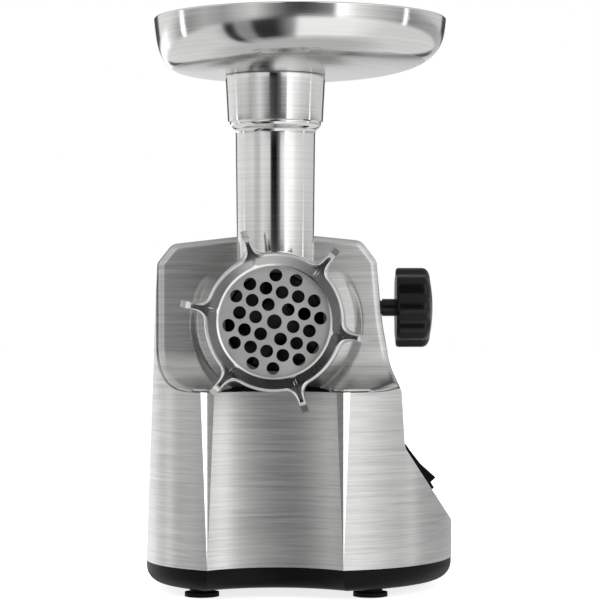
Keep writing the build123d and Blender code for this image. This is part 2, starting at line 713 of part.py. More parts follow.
def shaft_holes(y0, y1):
    first, second = gear_centres()
    return [rod_y(SHAFT_R + FIT, y0, y1, *c) for c in (first, second)]


def gearbox_front():
    """Bulkhead across the housing with the head's socket in front."""
    y0, y1 = GEARBOX_Y, GEARBOX_Y + PLATE_THICK
    plate = body_solid(WALL + 0.2) & block(-200, 200, y0, y1, SEAM_Z + 3, 400)
    plate += rod_y(SOCKET_TUBE_R, SHOULDER_Y + 0.15, y0 + 1)
    plate -= rod_y(SPIGOT_R + SPIGOT_CLEAR + 0.1, 0, y0)
    plate -= rod_y(SOCKET_R + FIT, 0, y1 + 1)
    plate -= shaft_holes(y0 - 1, y1 + 1)
    return plate - rod_x(STUD_R + 0.4, 0, 60, KNOB_Y, KNOB_Z)


def gearbox_rear():
    """Rear plate on four pillars; it carries the motor."""
    y0, y1 = GEARBOX_END_Y, GEARBOX_END_Y + PLATE_THICK
    discs = [Pos(*c) * Circle(9.0) for c in PILLARS] + [Pos(MOTOR_X, MOTOR_Z) * Circle(STATOR_R)]
    edges = [edge for disc in discs for edge in disc.edges()]
    plate = prism_y(make_hull(edges), y0, y1)
    for centre in PILLARS:
        plate += rod_y(5.0, GEARBOX_Y + PLATE_THICK + 0.1, y0 + 1, *centre)
        plate -= rod_y(2.3, GEARBOX_Y, y1 + 1, *centre)
    plate -= shaft_holes(y0 - 1, y1 + 1)
    plate -= rod_y(SHAFT_R + FIT, y0 - 1, y1 + 1)
    return plate - rod_y(MOTOR_SHAFT_R + 1.5, y0 - 1, y1 + 1, MOTOR_X, MOTOR_Z)


def gearbox_screws():
    y1 = GEARBOX_END_Y + PLATE_THICK
    shanks = [rod_y(2.0, GEARBOX_Y + 5, y1 + 0.2, *c) for c in PILLARS]
    return Compound([shank + rod_y(3.6, y1 + 0.2, y1 + 3, *c) for shank, c in zip(shanks, PILLARS)])


# ---------------------------------------------------------------- motor
def at_motor(outer, inner, y0, y1):
    body = rod_y(outer, y0, y1, MOTOR_X, MOTOR_Z)
    return body - rod_y(inner, y0 - 1, y1 + 1, MOTOR_X, MOTOR_Z) if inner else body


def stator_core():
    return at_motor(STATOR_R, STATOR_BORE, *STACK_Y)


def motor_bracket(y0, y1, wall_y):
    """Cup at one end of the stator, with a bearing seat in its wall and four windows."""
    inner = STATOR_R - 3.0
    cup = at_motor(STATOR_R, inner, y0, y1)
    cup += at_motor(STATOR_R, 0, wall_y, wall_y + BRACKET_T)
    for x, z in ring_of(4, 25.0, 0.0, MOTOR_X, MOTOR_Z):
        cup -= rod_y(9.0, wall_y - 1, wall_y + BRACKET_T + 1, x, z)
    return cup


def front_bracket():
    y0 = BRACKET_FRONT_Y + 0.1
    cup = motor_bracket(y0, STACK_Y[0] - 0.1, y0)
    cup += at_motor(BEARING_R + 3, 0, y0, y0 + BEARING_T)
    return cup - at_motor(BEARING_R, 0, y0 - 1, y0 + BEARING_T + 1)


def rear_bracket():
    y1 = BRACKET_REAR_Y
    cup = motor_bracket(STACK_Y[1] + 0.1, y1, y1 - BRACKET_T)
    cup += at_motor(BEARING_R + 3, 0, y1 - BEARING_T, y1)
    return cup - at_motor(BEARING_R, 0, y1 - BEARING_T - 1, y1 + 1)


def motor_bearings():
    front, rear = BRACKET_FRONT_Y + 0.1, BRACKET_REAR_Y - BEARING_T
    outer, bore = BEARING_R - FIT, MOTOR_SHAFT_R + FIT
    return Compound([at_motor(outer, bore, y, y + BEARING_T) for y in (front, rear)])


def motor_rotor():
    """Shaft with the pinion cut on its end, the laminated core and the end windings."""
    module, teeth, _, width = STAGE_1
    phase = train()[2][3]
    body = toothed(module, teeth, GEAR_1_Y, GEAR_1_Y + width, (MOTOR_X, MOTOR_Z), phase)
    body += at_motor(3.0, 0, GEAR_1_Y + width - 1, GEARBOX_END_Y)
    body += at_motor(MOTOR_SHAFT_R, 0, GEARBOX_END_Y, BRACKET_REAR_Y - 0.5)
    body += at_motor(ROTOR_R, 0, *STACK_Y)
    return body


def rotor_winding():
    return Compound([
        at_motor(17.0, MOTOR_SHAFT_R + 0.05, STACK_Y[0] - 6, STACK_Y[0] - 0.1),
        at_motor(17.0, MOTOR_SHAFT_R + 0.05, STACK_Y[1] + 0.1, STACK_Y[1] + 4),
    ])


def commutator():
    return at_motor(COMMUTATOR_R, MOTOR_SHAFT_R + 0.05, STACK_Y[1] + 4.3, STACK_Y[1] + 12.3)


def motor_fan():
    """Hub, back disc and twelve straight blades."""
    y0 = BRACKET_FRONT_Y + BEARING_T + 1.5
    fan = at_motor(8.0, 0, y0, y0 + 10) + at_motor(FAN_R, 0, y0 + 8.5, y0 + 10)
    blade = block(MOTOR_X + 7, MOTOR_X + FAN_R, y0, y0 + 9, MOTOR_Z - 0.6, MOTOR_Z + 0.6)
    for i in range(12):
        fan += blade.rotate(Axis((MOTOR_X, 0, MOTOR_Z), (0, 1, 0)), 30 * i)
    return fan - at_motor(MOTOR_SHAFT_R + 0.05, 0, y0 - 1, y0 + 11)


def field_coils():
    """End turns of the two field coils, in front of and behind the core."""
    side = block(MOTOR_X - 60, MOTOR_X + 60, 80, 200, MOTOR_Z - 6, MOTOR_Z + 6)
    front = at_motor(STATOR_R - 3.6, STATOR_BORE, STACK_Y[0] - 6, STACK_Y[0] - 0.1) - side
    rear = at_motor(STATOR_R - 3.6, STATOR_BORE, STACK_Y[1] + 0.1, STACK_Y[1] + 6) - side
    return Compound([*front.solids(), *rear.solids()])


def brush_gear():
    """Two brush boxes between the commutator and the rear bracket."""
    y0 = STACK_Y[1] + 5.5
    boxes = []
    for side in (-1, 1):
        a, b = sorted((MOTOR_X + side * (COMMUTATOR_R + 0.3), MOTOR_X + side * (STATOR_R - 3.4)))
        boxes.append(block(a, b, y0, y0 + 6, MOTOR_Z - 4, MOTOR_Z + 4))
    return Compound(boxes)


def terminal_block():
    """Three-way connector on the base's floor."""
    z = BASE_Z + BASE_WALL + 0.1
    body = block(-72, -48, 118, 134, z, z + 14)
    for x in (-67, -60, -53):
        body -= rod_z(2.2, z + 8, z + 15, x, 126)
    return body


def capacitor():
    """Suppression capacitor on the base's floor."""
    z = BASE_Z + BASE_WALL + 0.1
    can = block(-76, -44, 84, 100, z, z + 24)
    return fillet(can.edges().filter_by(Axis.Z), 2.0)


# ---------------------------------------------------------------- export
def export_all():
    shell, fascia, rear = covers()
    nodes = {
        "housing_shell": shell,
        "front_fascia": fascia,
        "rear_cover": rear_details(rear),
        "cord_gland": cord_gland(),
        "base_tray": base_tray(),
        "feet": feet(),
        "foot_screws": foot_screws(),
        "switch_bezel": switch_bezel(),
        "switch_body": switch_body(),
        "switch_rocker": switch_rocker(),
        "clamp_bush": clamp_bush(),
        "clamp_stud": clamp_stud(),
        "clamp_knob": clamp_knob(),
        "grinder_head": grinder_head(),
        "head_bush": head_bush(),
        "cutting_plate": cutting_plate(),
        "knife": knife(),
        "feed_screw": feed_screw(),
        "ring_nut": ring_nut(),
        "hopper_tray": hopper_tray(),
        "gearbox_front": gearbox_front(),
        "gearbox_rear": gearbox_rear(),
        "gearbox_screws": gearbox_screws(),
        "output_gear": output_gear(),
        "second_gear": second_gear(),
        "first_gear": first_gear(),
        "motor_rotor": motor_rotor(),
        "rotor_winding": rotor_winding(),
        "commutator": commutator(),
        "motor_fan": motor_fan(),
        "stator_core": stator_core(),
        "field_coils": field_coils(),
        "front_bracket": front_bracket(),
        "rear_bracket": rear_bracket(),
        "motor_bearings": motor_bearings(),
        "brush_gear": brush_gear(),
        "terminal_block": terminal_block(),
        "capacitor": capacitor(),
    }
    os.makedirs("parts", exist_ok=True)
    for name, shape in nodes.items():
        moved = Pos(0, FEED_Y, 0) * shape
        solids = moved.solids()
        export_step(solids[0] if len(solids) == 1 else Compound(children=list(solids)), f"parts/{name}.step")


if __name__ == "__main__":
    export_all()
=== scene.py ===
"""Electric meat grinder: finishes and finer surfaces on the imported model, in metres in the row frame."""

import math

import bmesh
import bpy
import numpy as np
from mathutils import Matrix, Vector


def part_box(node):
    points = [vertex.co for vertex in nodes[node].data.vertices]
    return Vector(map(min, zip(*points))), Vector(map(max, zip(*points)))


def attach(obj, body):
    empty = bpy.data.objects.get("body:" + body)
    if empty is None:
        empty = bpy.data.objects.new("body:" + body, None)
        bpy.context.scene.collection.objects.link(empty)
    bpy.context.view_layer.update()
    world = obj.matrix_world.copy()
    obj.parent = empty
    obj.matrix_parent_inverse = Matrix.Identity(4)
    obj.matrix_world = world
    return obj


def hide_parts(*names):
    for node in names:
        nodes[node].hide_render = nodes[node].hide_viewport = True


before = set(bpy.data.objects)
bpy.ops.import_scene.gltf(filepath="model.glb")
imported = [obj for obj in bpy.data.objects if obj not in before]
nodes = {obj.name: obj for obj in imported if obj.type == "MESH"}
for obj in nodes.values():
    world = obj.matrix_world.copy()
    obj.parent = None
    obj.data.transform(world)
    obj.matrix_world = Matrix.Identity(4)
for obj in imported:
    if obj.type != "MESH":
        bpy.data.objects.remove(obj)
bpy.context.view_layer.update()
MM = 0.001


# ---------------------------------------------------------------- node and mesh helpers
def add(tree, kind, links=None, **settings):
    """One node with its settings. links gives each input, by name or number, a value or another node's
    output."""
    node = tree.nodes.new(kind)
    for key, value in settings.items():
        setattr(node, key, value)
    for key, value in (links or {}).items():
        socket = node.inputs[key]
        if isinstance(value, bpy.types.NodeSocket):
            tree.links.new(value, socket)
        else:
            socket.default_value = value
    return node


def linear(hex_colour):
    """sRGB hex to linear RGBA."""
    values = [int(hex_colour[i : i + 2], 16) / 255 for i in (1, 3, 5)]
    return tuple(v / 12.92 if v <= 0.04045 else ((v + 0.055) / 1.055) ** 2.4 for v in values) + (1.0,)


def grey(level):
    """RGBA of a grey level that is linear already."""
    return (level, level, level, 1.0)


def finish_named(name, shader, metallic=0.0):
    """A new material with an output and a Principled shader whose constant sockets are set."""
    made = bpy.data.materials.new(name)
    made.use_nodes = True
    tree = made.node_tree
    tree.nodes.clear()
    principled = add(tree, "ShaderNodeBsdfPrincipled", {"Metallic": metallic, **shader})
    add(tree, "ShaderNodeOutputMaterial", {"Surface": principled.outputs["BSDF"]})
    return made, tree, principled


def ramp(tree, fac, stops):
    """A colour ramp through (position, linear RGBA) stops."""
    node = add(tree, "ShaderNodeValToRGB", {"Fac": fac})
    elements = node.color_ramp.elements
    while len(elements) < len(stops):
        elements.new(0.5)
    for element, (place, colour) in zip(elements, stops):
        element.position = place
        element.color = colour
    return node.outputs["Color"]


def brushed(name, light, dark, rough, grain, depth, spread, crown=None):
    """Brushed stainless steel or turned aluminium: the streaks an abrasive belt leaves. grain is streaks
    per metre along X, Y and Z. On sheet they are drawn a few centimetres long and about 0.7 mm apart, on
    turned parts about 11 cm long and 0.5 mm apart; real ones are near 0.1 mm apart, too fine to show. crown
    tilts the shading normals as if the sheet bowed out across X, and leaves the mesh as it is: height lost
    per square metre, middle, reach on either side and the Z it ends at."""
    made, tree, metal = finish_named(name, {"Roughness": rough}, 1.0)
    place = add(tree, "ShaderNodeTexCoord").outputs["Object"]

    def streaks(scale, **more):
        stretched = add(tree, "ShaderNodeMapping", {"Vector": place, "Scale": scale}).outputs[0]
        return add(tree, "ShaderNodeTexNoise", {"Vector": stretched, "Scale": 1.0, **more}).outputs[0]

    def maths(operation, first, second):
        return add(tree, "ShaderNodeMath", {0: first, 1: second}, operation=operation).outputs[0]

    fine = streaks(grain, Detail=4.0, Roughness=0.6)
    broad = streaks(tuple(g * 0.45 for g in grain), Detail=2.0)
    half = maths("MULTIPLY", maths("ADD", fine, broad), 0.5)
    shade = ramp(tree, half, [(0.34, linear(dark)), (0.64, linear(light))])
    tree.links.new(shade, metal.inputs["Base Color"])
    limits = {"From Min": 0.3, "From Max": 0.7, "To Min": rough - spread / 2, "To Max": rough + spread / 2}
    rougher = add(tree, "ShaderNodeMapRange", {"Value": half, **limits})
    tree.links.new(rougher.outputs[0], metal.inputs["Roughness"])
    bump = add(tree, "ShaderNodeBump", {"Height": fine, "Strength": depth, "Distance": 0.0002})
    if crown:
        loss, centre, reach, ceiling = crown
        spot = add(tree, "ShaderNodeSeparateXYZ", {0: place})
        off = maths("ADD", spot.outputs["X"], -centre)
        near = maths("MINIMUM", maths("MULTIPLY", off, off), reach**2)
        masked = maths("MULTIPLY", near, maths("LESS_THAN", spot.outputs["Z"], ceiling))
        bow = maths("MULTIPLY", masked, -loss)
        bowed = add(tree, "ShaderNodeBump", {"Height": bow, "Strength": 1.0, "Distance": 1.0})
        tree.links.new(bowed.outputs[0], bump.inputs["Normal"])
    tree.links.new(bump.outputs[0], metal.inputs["Normal"])
    return made


def moulded(name, colour, worn, rough, shine=0.09, grit=1500.0, depth=0.08):
    """Moulded plastic or rubber: a fine spark-eroded grain about 0.7 mm across as drawn, with a faint
    uneven gloss."""
    made, tree, plastic = finish_named(name, {"Roughness": rough, "Specular IOR Level": shine})
    place = add(tree, "ShaderNodeTexCoord").outputs["Object"]
    grain = add(tree, "ShaderNodeTexNoise", {"Vector": place, "Scale": grit, "Detail": 2.0})
    cloud = add(tree, "ShaderNodeTexNoise", {"Vector": place, "Scale": 35.0, "Detail": 3.0})
    shade = ramp(tree, cloud.outputs[0], [(0.35, linear(colour)), (0.7, linear(worn))])
    tree.links.new(shade, plastic.inputs["Base Color"])
    limits = {"To Min": rough - 0.05, "To Max": rough + 0.07}
    gloss = add(tree, "ShaderNodeMapRange", {"Value": cloud.outputs[0], **limits})
    tree.links.new(gloss.outputs[0], plastic.inputs["Roughness"])
    bump = add(tree, "ShaderNodeBump", {"Height": grain.outputs[0], "Strength": depth, "Distance": 0.0001})
    tree.links.new(bump.outputs[0], plastic.inputs["Normal"])
    return made


def satin(name, light, dark, rough, pits=900.0, depth=0.06):
    """Cast, ground or machined metal with a satin face: soft clouding over a very fine sparkle about 1 mm
    across as drawn."""
    made, tree, metal = finish_named(name, {"Roughness": rough}, 1.0)
    place = add(tree, "ShaderNodeTexCoord").outputs["Object"]
    cloud = add(tree, "ShaderNodeTexNoise", {"Vector": place, "Scale": 60.0, "Detail": 4.0})
    shade = ramp(tree, cloud.outputs[0], [(0.35, linear(dark)), (0.65, linear(light))])
    tree.links.new(shade, metal.inputs["Base Color"])
    speck = add(tree, "ShaderNodeTexNoise", {"Vector": place, "Scale": pits, "Detail": 2.0})
    limits = {"To Min": rough - 0.06, "To Max": rough + 0.06}
    vary = add(tree, "ShaderNodeMapRange", {"Value": cloud.outputs[0], **limits})
    tree.links.new(vary.outputs[0], metal.inputs["Roughness"])
    bump = add(tree, "ShaderNodeBump", {"Height": speck.outputs[0], "Strength": depth, "Distance": 0.0001})
    tree.links.new(bump.outputs[0], metal.inputs["Normal"])
    return made


def surface(name, grid, wrap_rows=False, wrap_cols=False, flip=False, keep=None, sharp=38):
    """A mesh over a grid of points shaped (rows, columns, 3), joined end to end where it wraps.
    keep is a test for each quad. Points that fall together, as at a pole, are merged."""
    rows, cols = grid.shape[:2]
    index = np.arange(rows * cols).reshape(rows, cols)
    if wrap_rows:
        index = np.vstack([index, index[:1]])
    if wrap_cols:
        index = np.hstack([index, index[:, :1]])
    corners = [index[:-1, :-1], index[:-1, 1:], index[1:, 1:], index[1:, :-1]]
    quads = np.stack(corners, axis=-1).reshape(-1, 4)
    if keep is not None:
        quads = quads[keep[quads].all(axis=1)]
    if flip:
        quads = quads[:, ::-1]
    used, small = np.unique(quads, return_inverse=True)
    mesh = bpy.data.meshes.new(name)
    mesh.from_pydata(grid.reshape(-1, 3)[used].tolist(), [], small.reshape(-1, 4).tolist())
    tidy = bmesh.new()
    tidy.from_mesh(mesh)
    bmesh.ops.remove_doubles(tidy, verts=tidy.verts, dist=1e-6)
    bmesh.ops.dissolve_degenerate(tidy, edges=tidy.edges, dist=1e-7)
    tidy.to_mesh(mesh)
    tidy.free()
    mesh.shade_smooth()
    mesh.set_sharp_from_angle(angle=math.radians(sharp))
    obj = bpy.data.objects.new(name, mesh)
    bpy.context.scene.collection.objects.link(obj)
    return obj


def paint(obj, material):
    obj.data.materials.clear()
    obj.data.materials.append(material)


def stands_for(obj, body, node, material):
    """The piece takes a CAD node's place: it is painted, attached to the node's body, and the node is hidden.
    """
    paint(obj, material)
    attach(obj, body)
    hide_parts(node)


def two_tone(obj, second, test):
    """Gives the faces that pass the test the second material."""
    obj.data.materials.append(second)
    for face in obj.data.polygons:
        face.material_index = 1 if test(face) else 0


# ---------------------------------------------------------------- materials
# Streaks per metre, then the shading crowns. The first crown evens out the hollow front panel's reflections.
SHEET_GRAIN = (40.0, 40.0, 1500.0)
TURNED_GRAIN = (9.0, 9.0, 1900.0)
HOLLOW_CROWN = (6.0, -0.0134, 0.037, 0.117)
FASCIA_CROWN = (0.95, -0.036, 1.0, 1.0)
SHEET = ("#DADAD9", "#BCBCBB", 0.32, SHEET_GRAIN, 0.045, 0.07)

STEEL = brushed("brushed_stainless", *SHEET, HOLLOW_CROWN)
FASCIA_STEEL = brushed("pressed_stainless", *SHEET, FASCIA_CROWN)
PLATE_STEEL = satin("ground_steel_plate", "#D2D2D0", "#C4C4C2", 0.55)
POLISHED = brushed("turned_aluminium", "#E2E2E1", "#D4D4D3", 0.10, TURNED_GRAIN, 0.035, 0.03)
TRAY_STEEL = brushed("spun_stainless", "#DEDEDD", "#D0D0CF", 0.11, TURNED_GRAIN, 0.05, 0.04)
TRAY_FLOOR = brushed("brushed_tray_floor", "#D8D8D7", "#C6C6C5", 0.27, TURNED_GRAIN, 0.06, 0.05)
RING_METAL = satin("satin_cast_aluminium", "#999998", "#8B8B8A", 0.23, depth=0.04)
BRIGHT_EDGE = satin("bright_turned_aluminium", "#E2E2E1", "#DADAD9", 0.16, pits=500.0, depth=0.02)
CREASE = satin("polished_crease_steel", "#E6E6E5", "#E0E0DF", 0.12, depth=0.02)
DARK_METAL = satin("machined_steel", "#5C5C5C", "#444444", 0.32)
# Painted shade: the steel of the knife, feed screw and clamp stud is darkened to near black so the inside of
# the head reads as shadow through the plate's holes.
KNIFE_STEEL_PAINTED_SHADE = satin("knife_steel_darkened_as_painted_shade", "#3A3A3A", "#262626", 0.30)
CASTING = satin("die_cast_aluminium", "#6E6E6D", "#565655", 0.42)
BLACK = moulded("black_abs", "#070707", "#0D0D0D", 0.42)
GLOSS = moulded("gloss_black_phenolic", "#050505", "#090909", 0.24, shine=0.3, depth=0.03)
RUBBER = moulded("black_rubber", "#090909", "#101010", 0.62, depth=0.15)
NYLON = moulded("natural_nylon", "#CFC9B8", "#DDD8C8", 0.42, shine=0.5)
COPPER = satin("enamelled_copper", "#B8673A", "#8A4526", 0.35)

FINISH = {
    STEEL: ["housing_shell", "front_fascia"],
    PLATE_STEEL: ["cutting_plate"],
    POLISHED: ["grinder_head"],
    TRAY_STEEL: ["hopper_tray"],
    RING_METAL: ["ring_nut"],
    # painted shade: near-black steel for the parts inside the head
    KNIFE_STEEL_PAINTED_SHADE: ["knife", "feed_screw", "clamp_stud"],
    DARK_METAL: ["foot_screws", "gearbox_screws", "motor_bearings", "motor_rotor", "stator_core"],
    CASTING: ["clamp_bush", "gearbox_front", "gearbox_rear", "front_bracket", "rear_bracket"],
    BLACK: ["rear_cover", "cord_gland", "base_tray", "switch_bezel", "switch_body", "capacitor"],
    GLOSS: ["clamp_knob", "switch_rocker"],
    RUBBER: ["feet"],
    NYLON: [
        "head_bush", "output_gear", "second_gear", "first_gear", "motor_fan", "brush_gear", "terminal_block",
    ],
    COPPER: ["rotor_winding", "commutator", "field_coils"],
}
for material, names in FINISH.items():
    for name in names:
        paint(nodes[name], material)


# ---------------------------------------------------------------- sizes read from the frame
def middle(node, axis):
    low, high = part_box(node)
    return (low[axis] + high[axis]) / 2


HEAD = (middle("cutting_plate", 0), middle("hopper_tray", 1), middle("cutting_plate", 2))
TRAY_LOW, TRAY_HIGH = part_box("hopper_tray")
RING_LOW, RING_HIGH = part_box("ring_nut")
KNOB_LOW, KNOB_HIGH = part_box("clamp_knob")


# ---------------------------------------------------------------- hopper tray
def hopper_tray():
    """A closed profile turned about an axis that drifts. The bowl's wall runs from a flat floor round a
    tight turn, a superellipse of power 3.4, to a nearly upright side that opens 6 degrees. Each circle's
    centre moves from the tube's axis to the tray's with the square of how far it has widened."""
    power, side_angle = 3.4, math.radians(6)
    floor_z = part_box("grinder_head")[1][2] + 0.1 * MM
    rim_r = (TRAY_HIGH[0] - TRAY_LOW[0]) / 2
    neck, wall, spigot, throat = 26 * MM, 1.2 * MM, 22.9 * MM, 21.0 * MM
    spread, rise = rim_r - neck, TRAY_HIGH[2] - floor_z
    turn = math.pi / 2 * (0.5 - 0.5 * np.cos(np.linspace(0, math.pi, 110)))
    swell = np.sin(turn) ** (2 / power)
    left_over = np.maximum(np.cos(turn), 0) ** (2 / power)
    narrow = math.tan(side_angle) * rise * left_over * swell**2
    outer = np.stack([neck + spread * swell - narrow, TRAY_HIGH[2] - rise * left_over, swell], 1)
    along = np.gradient(outer[:, :2], axis=0)
    along /= np.hypot(along[:, 0], along[:, 1])[:, None]
    inner = outer + np.stack([-wall * along[:, 1], wall * along[:, 0], 0 * swell], 1)
    outer[:, 1] -= wall / 2 * swell**8
    inner[:, 1] = np.minimum(inner[:, 1], TRAY_HIGH[2] - wall / 2)
    inner = inner[::-1]
    lip = np.linspace(0, math.pi, 9)[1:-1]
    edge_r = rim_r - wall / 2 + wall / 2 * np.cos(lip)
    edge_z = TRAY_HIGH[2] - wall / 2 + wall / 2 * np.sin(lip)
    edge = np.stack([edge_r, edge_z, np.ones(len(lip))], 1)
    foot = TRAY_LOW[2]
    turned_in = np.array([
        [throat + 0.8 * MM, inner[-1, 1], 0],
        [throat + 0.2 * MM, inner[-1, 1] - 0.3 * MM, 0],
        [throat, inner[-1, 1] - 1.2 * MM, 0],
        [throat, foot + 0.3 * MM, 0],
        [throat + 0.3 * MM, foot, 0],
        [spigot - 0.4 * MM, foot, 0],
        [spigot, foot + 0.4 * MM, 0],
        [spigot, floor_z - 0.4 * MM, 0],
        [spigot + 0.2 * MM, floor_z - 0.02 * MM, 0],
        [spigot + 1.0 * MM, floor_z, 0],
    ])
    profile = np.vstack([outer, edge, inner, turned_in])
    around = np.linspace(0, 2 * math.pi, 192, endpoint=False)
    radius, height, swell = profile[:, 0, None], profile[:, 1, None], profile[:, 2, None]
    drift = middle("hopper_tray", 0) - HEAD[0]
    x = HEAD[0] + drift * swell**2 + radius * np.cos(around)
    y = HEAD[1] + radius * np.sin(around)
    z = np.broadcast_to(height, x.shape)
    return surface("tray_bowl", np.stack([x, y, z], -1), wrap_rows=True, wrap_cols=True)


# ---------------------------------------------------------------- retaining ring
def lug_outline(base, tip, root_half, tip_half, lugs=6):
    """(radius, angle) of the ring's outline. On a lug, with a share running from root to tip, the reach
    grows as the share's square and the half width falls as the power 2.4 of what is left, which leaves the
    circle smoothly. Between lugs the outline is the plain circle."""
    ease = np.linspace(0, 1, 22)
    reach = base + (tip - base) * ease**2
    half = tip_half + (root_half - tip_half) * (1 - ease) ** 2.4
    flank = half / reach
    end = np.linspace(flank[-1], -flank[-1], 5)[1:-1]
    rest = np.linspace(0, 1, 16)[1:-1]
    pitch = 2 * math.pi / lugs
    gap = flank[0] + (pitch - 2 * flank[0]) * rest
    radius = np.concatenate([reach, np.full(len(end), tip), reach[::-1], np.full(len(gap), base)])
    angle = np.concatenate([-flank, end[::-1], flank[::-1], gap])
    count = np.arange(lugs)[:, None] * pitch
    return np.tile(radius, lugs), (angle[None, :] + count).ravel()


def ring_nut():
    """Rows run round the ring's section: aperture, face, crisp bevel, swept outside, back face and bore. Each
    row is a plain circle, the lugged outline, or on the face a share of the way between the two. The face
    is a shallow cone that rises outwards."""
    front, back = RING_LOW[1], RING_HIGH[1]
    depth = back - front
    twist = math.radians(-11)
    face_r, cone, cone_width = 29.9 * MM, 0.55 * MM, 5.2 * MM
    base_r, tip_r, root_half, tip_half = 36.5, 45.8, 7.4 * MM, 1.8 * MM
    first_angle = lug_outline(base_r * MM, tip_r * MM, root_half, tip_half)[1]
    rows = []

    def lugged(inset, share, y):
        base = (base_r + 1.0 * share) * MM - inset
        tip = (tip_r + 5.0 * share) * MM - inset * 1.1
        rows.append((*lug_outline(base, tip, root_half - inset * 0.7, tip_half - inset * 0.55), y))

    def plain(radius, y):
        angle = rows[-1][1] if rows else first_angle
        rows.append((np.full(angle.shape, radius), angle, y))

    def face(share_out):
        outer = lug_outline(35.1 * MM, 44.3 * MM, 6.4 * MM, 1.0 * MM)
        radius = face_r + (outer[0] - face_r) * share_out
        fall = cone * np.clip((radius - face_r) / cone_width, 0, 1)
        rows.append((radius, outer[1], front + 0.6 * MM - fall))

    plain(29.0 * MM, front + 3.4 * MM)
    plain(29.0 * MM, front + 1.7 * MM)
    plain(29.15 * MM, front + 1.1 * MM)
    plain(face_r, front + 0.6 * MM)
    for share in (0.1, 0.25, 0.4, 0.55, 0.7, 0.85, 1.0):
        face(share)
    lugged(1.25 * MM, 0.0, front + 0.02 * MM)
    lugged(0.9 * MM, 0.0, front + 0.22 * MM)
    lugged(0.2 * MM, 0.0, front + 0.9 * MM)
    lugged(0.0, 0.02, front + 1.3 * MM)
    for share in (0.15, 0.35, 0.6, 0.85):
        lugged(0.0, share, front + share * depth)
    lugged(0.0, 0.96, back - 0.8 * MM)
    lugged(0.5 * MM, 0.99, back - 0.2 * MM)
    lugged(1.2 * MM, 1.0, back)
    plain(35.0 * MM, back)
    plain(34.3 * MM, back - 0.7 * MM)
    plain(34.3 * MM, front + 4.4 * MM)
    plain(29.6 * MM, front + 4.4 * MM)
    radius = np.array([r for r, _, _ in rows])
    angle = np.array([a for _, a, _ in rows]) + twist
    depth_y = np.array([np.broadcast_to(y, r.shape) for r, _, y in rows])
    x, z = HEAD[0] + radius * np.cos(angle), HEAD[2] + radius * np.sin(angle)
    grid = np.stack([x, depth_y, z], -1)
    return surface("retaining_ring", grid, wrap_rows=True, wrap_cols=True, sharp=40)


# ---------------------------------------------------------------- grinder head
def feed_tube():
    """The tube and its collar as one closed wall. The foot follows the barrel's round back, with a small
    cast fillet, and a rounded shoulder carries the tube out to the collar's crisp lower edge."""
    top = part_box("grinder_head")[1][2]
    lip = top - 25.5 * MM
    level = HEAD[2] + 36 * MM
    around = np.linspace(0, 2 * math.pi, 192, endpoint=False)
    rows = []

    def saddle(radius, barrel, lift):
        """A row on a cylinder about the barrel's axis, lifted towards the level circle above it."""
        on = HEAD[2] + np.sqrt((barrel * MM) ** 2 - (radius * MM * np.cos(around)) ** 2)
        rows.append((np.full(around.shape, radius * MM), on + (level - on) * lift))

    def circle(radius, z):
        rows.append((np.full(around.shape, radius * MM), np.full(around.shape, z)))

    # foot fillet, taper, shoulder, underside of the collar
    foot = [(23.4, -0.02), (22.4, 0.03), (21.5, 0.09), (20.95, 0.18), (20.8, 0.3), (20.85, 0.5), (20.9, 0.75)]
    for radius, lift in foot:
        saddle(radius, 30.9, lift)
    for share in np.linspace(0, 1, 8):
        circle(20.95 + 0.75 * share, level + (lip - 6.5 * MM - level) * share)
    for angle in np.linspace(0, 80, 9)[1:]:
        a = math.radians(angle)
        circle(21.7 + 1.7 * (1 - math.cos(a)), lip - 6.5 * MM + 1.7 * MM * math.sin(a) * 1.6)
    for angle in np.linspace(65, 0, 9)[1:]:
        a = math.radians(angle)
        circle(23.0 + 1.9 * math.cos(a) ** 1.2, lip - 0.75 * MM - 2.6 * MM * math.sin(a))
    # collar's edge, flare, mouth, and the bore back down to the barrel
    circle(24.9, lip - 0.3 * MM)
    circle(25.2, lip - 0.02 * MM)
    circle(25.6, lip)
    circle(25.88, lip + 0.25 * MM)
    for share in np.linspace(0.04, 0.96, 9):
        circle(25.9 + 1.35 * share, lip + (top - lip) * share)
    circle(27.2, top - 0.35 * MM)
    circle(26.85, top)
    circle(23.6, top)
    circle(23.2, top - 0.4 * MM)
    circle(23.2, lip + 3 * MM)
    circle(18.8, lip + 3 * MM)
    circle(18.5, lip + 2.6 * MM)
    circle(18.5, HEAD[2] + 27.6 * MM)
    circle(19.5, HEAD[2] + 27.5 * MM)
    saddle(19.5, 26.1, 0.0)
    radius = np.array([r for r, _ in rows])
    z = np.array([h for _, h in rows])
    x, y = HEAD[0] + radius * np.cos(around), HEAD[1] + radius * np.sin(around)
    return np.stack([x, y, z], -1)


